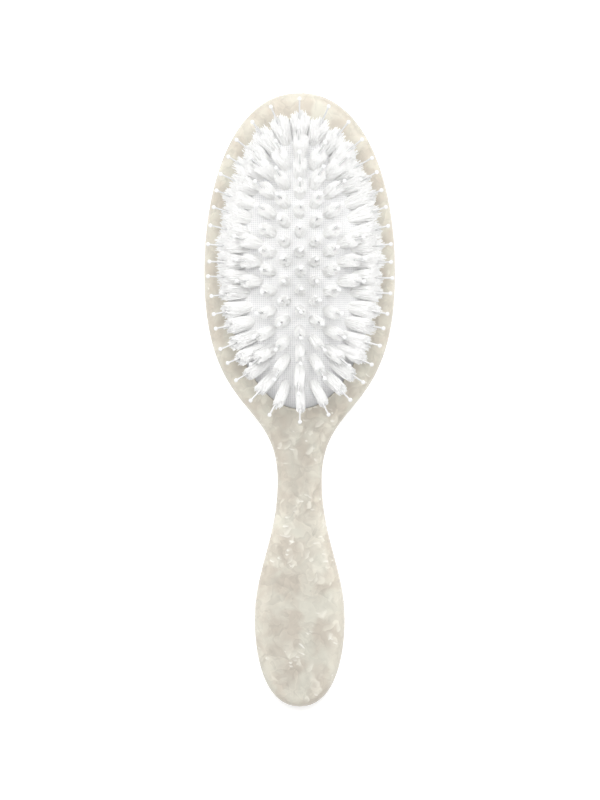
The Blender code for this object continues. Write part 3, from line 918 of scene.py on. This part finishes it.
TUFT_SIZES = {
    "Filaments": 400, "Locks": 7, "Seed": 11,
    "Root radius": 1.6 * MM, "Tip radius": 3.4 * MM, "Upright share": 0.54,
    "Head end share": 1.25, "Handle end share": 0.4,
    "Root depth": ROOT_DEPTH, "Length": 10.8 * MM, "Head end length": 0.85,
    "Length spread": 0.1, "Lock spread": 0.07, "Lock pull": 0.12,
    "Stray": 0.45 * MM, "Sway": 0.45 * MM, "Bow": 1.6 * MM, "Filament radius": 0.13 * MM,
    "Softness": 0.46}
GOLDEN_TURN = math.pi * (3 - math.sqrt(5))
STRAND_POINTS = 5
SECTION_SIDES = 4
TIP_TAPER = 0.85


def bristle_tree():
    tree, add, sizes = new_tree("Bristle tufts", TUFT_SIZES)
    copies = add(
        "DuplicateElements", {"Geometry": sizes["Geometry"], "Amount": sizes["Filaments"]},
        domain="POINT")
    number = copies.outputs["Duplicate Index"]
    lean = add("InputNamedAttribute", ["lean"], data_type="FLOAT_VECTOR")
    tuft = add("InputNamedAttribute", ["tuft"], data_type="INT")
    foot = add("InputPosition")

    # A number of its own for each filament, and for each lock of each tuft
    strand = add("Math", [tuft, 1000.0, number], "MULTIPLY_ADD")
    turn = add("Math", [number, GOLDEN_TURN, tuft], "MULTIPLY_ADD")
    sector = add("Math", [2 * math.pi, sizes["Locks"]], "DIVIDE")
    wrapped = add("Math", [turn, 2 * math.pi], "MODULO")
    lock_share = add("Math", [wrapped, sector], "DIVIDE")
    lock = add("Math", [lock_share], "FLOOR")
    lock_id = add("Math", [tuft, 100.0, lock], "MULTIPLY_ADD")
    lock_middle = add("Math", [lock, 0.5], "ADD")
    lock_turn = add("Math", [lock_middle, sector], "MULTIPLY")

    def chance(of, step, low_value=-1.0, high_value=1.0, kind="FLOAT"):
        """A random value or vector of its own for each number that it is given."""
        seed = add("Math", [sizes["Seed"], float(step)], "ADD")
        ends = {2: low_value, 3: high_value}
        if kind == "FLOAT_VECTOR":
            ends = {0: (low_value,) * 3, 1: (high_value,) * 3}
        return add("RandomValue", {**ends, "ID": of, "Seed": seed}, data_type=kind)

    def round_place(angle, radius):
        """A place at that angle and radius round the tuft's axis, in the tuft's own axes."""
        cosine, sine = [add("Math", [angle], name) for name in ("COSINE", "SINE")]
        unit = add("CombineXYZ", [cosine, sine])
        return add("VectorMath", {0: unit, "Scale": radius}, "SCALE")

    # A leaning tuft spreads wider than an upright one, most at the head's end and least towards the handle
    parts = add("SeparateXYZ", [lean]).outputs
    reach = math.sin(RING_LEAN)
    tip_radius = sizes["Tip radius"]
    for part, start, end, share in (
            (parts["Z"], math.cos(RING_LEAN), 1.0, sizes["Upright share"]),
            (parts["Y"], 0.0, reach, sizes["Head end share"]),
            (parts["Y"], 0.0, -reach, sizes["Handle end share"])):
        spread = add("MapRange", [part, start, end, 1.0, share])
        tip_radius = add("Math", [tip_radius, spread], "MULTIPLY")

    # Filaments fill the hole as seeds fill a sunflower
    shift = add("Math", [number, 0.5], "ADD")
    part = add("Math", [shift, sizes["Filaments"]], "DIVIDE")
    out = add("Math", [part], "SQRT")
    root_out, tip_out, lock_out = [
        add("Math", [share, radius], "MULTIPLY")
        for share, radius in (
            (out, sizes["Root radius"]), (out, tip_radius), (chance(lock_id, 1, 0.55, 1.0), tip_radius))]
    gathered = add(
        "Mix",
        {0: sizes["Lock pull"], 4: round_place(turn, tip_out), 5: round_place(lock_turn, lock_out)},
        data_type="VECTOR")

    # Height of the tip: the length, changed a little for each lock and each filament
    height = 1.0
    for of, step, label in ((strand, 2, "Length spread"), (lock_id, 3, "Lock spread")):
        height = add("Math", [chance(of, step), sizes[label], height], "MULTIPLY_ADD")
    shorter = add("MapRange", [parts["Y"], 0.0, reach, 1.0, sizes["Head end length"]])
    length = add("Math", [shorter, sizes["Length"]], "MULTIPLY")
    height = add("Math", [height, length], "MULTIPLY")
    up = add("CombineXYZ", {2: height})

    # Tufts sway as a whole, and filaments stray from their tuft and bow
    sway, bow = [
        add("VectorMath", {0: chance(of, step, kind="FLOAT_VECTOR"), "Scale": sizes[label]}, "SCALE")
        for of, step, label in ((tuft, 4, "Sway"), (strand, 5, "Bow"))]
    stray = add("VectorMath", [chance(strand, 7, kind="FLOAT_VECTOR"), sizes["Stray"], sway], "MULTIPLY_ADD")
    tip_level = add("VectorMath", [gathered, stray], "ADD")
    tip = add("VectorMath", [tip_level, up], "ADD")
    down = add("Math", [sizes["Root depth"], -1.0], "MULTIPLY")
    sunk = add("CombineXYZ", {2: down})
    root = add("VectorMath", [round_place(turn, root_out), sunk], "ADD")

    # From the tuft's own axes to the brush's
    stand = add(
        "AxesToRotation", {"Primary Axis": lean, "Secondary Axis": (0, 1, 0)},
        primary_axis="Z", secondary_axis="Y")
    points = copies.outputs["Geometry"]
    for name, local, base in zip(STRAND_VALUES, (root, tip, bow), (foot, foot, (0, 0, 0))):
        turned = add("RotateVector", [local, stand])
        placed = add("VectorMath", [turned, base], "ADD")
        points = add(
            "StoreNamedAttribute", {"Geometry": points, "Name": name, "Value": placed},
            data_type="FLOAT_VECTOR", domain="POINT")
    points = add(
        "StoreNamedAttribute",
        {"Geometry": points, "Name": "strand_tone", "Value": chance(strand, 6, 0.0, 1.0)},
        data_type="FLOAT", domain="POINT")

    # A line of points for each filament, bent from its root to its tip
    line = add("CurvePrimitiveLine")
    even = add("ResampleCurve", {"Curve": line, "Count": STRAND_POINTS})
    lines = add("InstanceOnPoints", {"Points": points, "Instance": even})
    strands = add("RealizeInstances", [lines])
    along = add("SplineParameter").outputs["Factor"]
    start, end, side = [
        add("InputNamedAttribute", [name], data_type="FLOAT_VECTOR")
        for name in STRAND_VALUES]
    straight = add("Mix", {0: along, 4: start, 5: end}, data_type="VECTOR")
    left = add("Math", [1.0, along], "SUBTRACT")
    hump = add("Math", [along, left], "MULTIPLY")
    bent = add("VectorMath", {0: side, "Scale": hump}, "SCALE")
    place = add("VectorMath", [straight, bent], "ADD")
    laid = add("SetPosition", {"Geometry": strands, "Position": place})

    # The filament's section narrows towards its tip
    section = add("CurvePrimitiveCircle", {"Resolution": SECTION_SIDES, "Radius": 1.0})
    taper = add("MapRange", [along, 0.5, 1.0, 1.0, TIP_TAPER])
    thick = add("Math", [taper, sizes["Filament radius"]], "MULTIPLY")
    skin = add("CurveToMesh", {"Curve": laid, "Profile Curve": section, "Scale": thick, "Fill Caps": True})
    end_tree(add, soften(add, skin, sizes["Softness"]), sizes["Finish"])
    return tree


# %% Grow the tufts
TUFT_LIFT = 0.35


def feet_mesh(name, group, first):
    """One point per tuft, which knows its lean and its number."""
    mesh = bpy.data.meshes.new(name)
    mesh.from_pydata([foot for foot, _axis in group], [], [])
    leans = mesh.attributes.new("lean", "FLOAT_VECTOR", "POINT")
    leans.data.foreach_set("vector", [value for _foot, axis in group for value in axis])
    numbers = mesh.attributes.new("tuft", "INT", "POINT")
    numbers.data.foreach_set("value", range(first, first + len(group)))
    return mesh


def more_upright(group, lift):
    """The same feet, with what leans towards the head's end lifted a little."""
    return [(foot, (axis + Vector((0, 0, lift * max(axis.y, 0)))).normalized()) for foot, axis in group]


bristle_nylon = white_nylon("Drawn white nylon bristle", "fdfdfc", 0.6, 0.03)
bristles = bristle_tree()
first = 0
for node, group in tufts.items():
    name = node.replace("bristle_row", "tufts_row").replace("rim_bristles", "tufts_rim")
    piece = add_piece(name, feet_mesh(node, more_upright(group, TUFT_LIFT), first))
    grow(piece, bristles, TUFT_SIZES, bristle_nylon)
    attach(piece, "tuft_field")
    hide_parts(node)
    first += len(group)

# %% [markdown]
# ## Pins with ball tips
#
# In the middle of each tuft stands a moulded nylon pin, longer than the bristle, with a ball at its tip
# that glides over the scalp. A pin is a turned shape: its profile is spun once, and Geometry Nodes set a
# copy on each foot, each a degree or two off the tuft's own lean, as pins in soft rubber are.

# %% Turn one pin and set the rest
PIN_LENGTH = 19 * MM
PIN_RADIUS = 0.32 * MM
BALL_RADIUS = 0.76 * MM
PIN_SIDES = 10
BALL_STEPS = 5
PIN_LIFT = 0.14
PIN_SIZES = {"Seed": 5, "Tilt": 0.035, "Softness": 0.3}


def pin_mesh():
    """A pin along +Z with its foot at the origin and its root below it."""
    top = PIN_LENGTH - BALL_RADIUS
    start = math.asin(PIN_RADIUS / BALL_RADIUS)
    profile = [(0, -TUFT_SIZES["Root depth"]), (PIN_RADIUS, -TUFT_SIZES["Root depth"])]
    for step in range(BALL_STEPS + 1):
        turn = start + (math.pi - start) * step / BALL_STEPS
        profile.append((BALL_RADIUS * math.sin(turn), top - BALL_RADIUS * math.cos(turn)))
    bm = bmesh.new()
    verts = [bm.verts.new((max(radius, 0), 0, height)) for radius, height in profile]
    edges = [bm.edges.new(pair) for pair in zip(verts, verts[1:])]
    bmesh.ops.spin(bm, geom=verts + edges, cent=(0, 0, 0), axis=(0, 0, 1), angle=2 * math.pi, steps=PIN_SIDES)
    bmesh.ops.remove_doubles(bm, verts=bm.verts, dist=WELD_DISTANCE)
    bmesh.ops.recalc_face_normals(bm, faces=bm.faces)
    return mesh_from(bm, "pin")


def pin_tree(pin):
    tree, add, sizes = new_tree("Ball-tipped pins", PIN_SIZES)
    lean = add("InputNamedAttribute", ["lean"], data_type="FLOAT_VECTOR")
    tuft = add("InputNamedAttribute", ["tuft"], data_type="INT")
    wander = add(
        "RandomValue", {0: (-1, -1, -1), 1: (1, 1, 1), "ID": tuft, "Seed": sizes["Seed"]},
        data_type="FLOAT_VECTOR")
    tilted = add("VectorMath", {0: wander, "Scale": sizes["Tilt"]}, "SCALE")
    way = add("VectorMath", [lean, tilted], "ADD")
    turned = add("AlignRotationToVector", {"Vector": way}, axis="Z")
    source = add("ObjectInfo", [pin])
    pins = add(
        "InstanceOnPoints",
        {"Points": sizes["Geometry"], "Instance": source.outputs["Geometry"], "Rotation": turned})
    real = add("RealizeInstances", [pins])
    end_tree(add, soften(add, real, sizes["Softness"]), sizes["Finish"])
    return tree


pin_nylon = white_nylon("Moulded white nylon pin", "f8f8f8", 0.15, 0.04)
pin = add_piece("pin", pin_mesh())
everywhere = [tuft for group in tufts.values() for tuft in group]
pins = add_piece("ball_pins", feet_mesh("ball_pins", more_upright(everywhere, PIN_LIFT), 0))
grow(pins, pin_tree(pin), PIN_SIZES, pin_nylon)
bpy.data.objects.remove(pin)
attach(pins, "tuft_field")

# %% [markdown]
# ## The stage
#
# The brush is photographed for a catalogue: from straight above, on white. Light comes from all round, more
# of it from the sides than from the top. Two soft boxes hang over the head, left and right of the camera,
# and a large one stands beyond the head's end. The floor is plain white. To the camera it also glows a
# little, so it reads as pure white and still takes the brush's soft shadow.

# %% Floor and backdrop
FLOOR_SIZE = 4.0
FLOOR_DROP = 0.05 * MM
FLOOR_GLOW = 0.5


def seen_only(add):
    """1 for rays from the camera, or off or through something shiny or clear, which see the backdrop."""
    path = add("LightPath").outputs
    seen = path["Is Camera Ray"]
    for other in ("Is Glossy Ray", "Is Transmission Ray"):
        seen = add("Math", [seen, path[other]], "MAXIMUM")
    return seen


half = FLOOR_SIZE / 2
corners = [(x, y, -FLOOR_DROP) for x, y in ((-half, -half), (half, -half), (half, half), (-half, half))]
floor_mesh = bpy.data.meshes.new("floor")
floor_mesh.from_pydata(corners, [], [(0, 1, 2, 3)])
paper, add, finish = new_material("White studio paper")
glow = add("Math", [seen_only(add), FLOOR_GLOW], "MULTIPLY")
finish({
    "Base Color": linear("f0f0f0"), "Roughness": 0.9, "Specular IOR Level": 0.0,
    "Emission Color": linear("ffffff"), "Emission Strength": glow})
floor = add_piece("floor", floor_mesh, paper)

# %% Light from all round, and more from the head's end
TENT_TOP = 0.29
TENT_WALLS = 0.72
world = bpy.data.worlds.new("studio")
bpy.context.scene.world = world
world.use_nodes = True
tent = world.node_tree
add = partial(add_node, tent)
way = add("TexCoord").outputs["Generated"]
up = add("SeparateXYZ", [way]).outputs["Z"]
panels = add("MapRange", [up, 0.0, 1.0, TENT_WALLS, TENT_TOP])
strength = add("Mix", {0: seen_only(add), 2: panels, 3: 1.0})
fill(tent, tent.nodes["Background"], {"Color": linear("ffffff"), "Strength": strength})

# %% Soft boxes
# Name, place, target, width, watts, and whether shiny things mirror it
SOFT_BOXES = (
    ("overhead_left_soft_box", (-0.1, 0.09, 0.45), (0, 0.05, 0), 0.2, 0.69, False),
    ("overhead_right_soft_box", (0.1, 0.09, 0.45), (0, 0.05, 0), 0.2, 0.69, False),
    ("head_end_soft_box", (0, 0.4, 0.45), (0, 0.03, 0), 0.5, 0.7, True))
for name, place, target, width, watts, mirrored in SOFT_BOXES:
    lamp = bpy.data.lights.new(name, "AREA")
    lamp.shape = "SQUARE"
    lamp.size = width
    lamp.energy = watts
    stand = add_piece(name, lamp)
    stand.location = place
    stand.rotation_euler = (Vector(target) - Vector(place)).to_track_quat("-Z", "Y").to_euler()
    stand.visible_camera = False
    stand.visible_glossy = mirrored

# %% [markdown]
# ## The camera
#
# The photograph was taken from straight above, from about 85 cm, with a long lens: the pins round the edge
# lean outwards a little further than they would in a flat projection. The lens is worked out from the width
# of table that the picture covers.

# %% Camera
CAMERA_HEIGHT = 850 * MM
PICTURE_HEIGHT = 293.9 * MM
PICTURE_LEVEL = 5 * MM
SENSOR = 36.0
camera = bpy.data.cameras.new("camera")
camera.sensor_width = SENSOR
camera.lens = SENSOR * (CAMERA_HEIGHT - PICTURE_LEVEL) / PICTURE_HEIGHT
stand = add_piece("camera", camera)
stand.location = (0.1 * MM, -0.1 * MM, CAMERA_HEIGHT)
bpy.context.scene.camera = stand
bpy.context.scene.view_settings.view_transform = "Standard"
print(f"lens {camera.lens:.1f} mm")
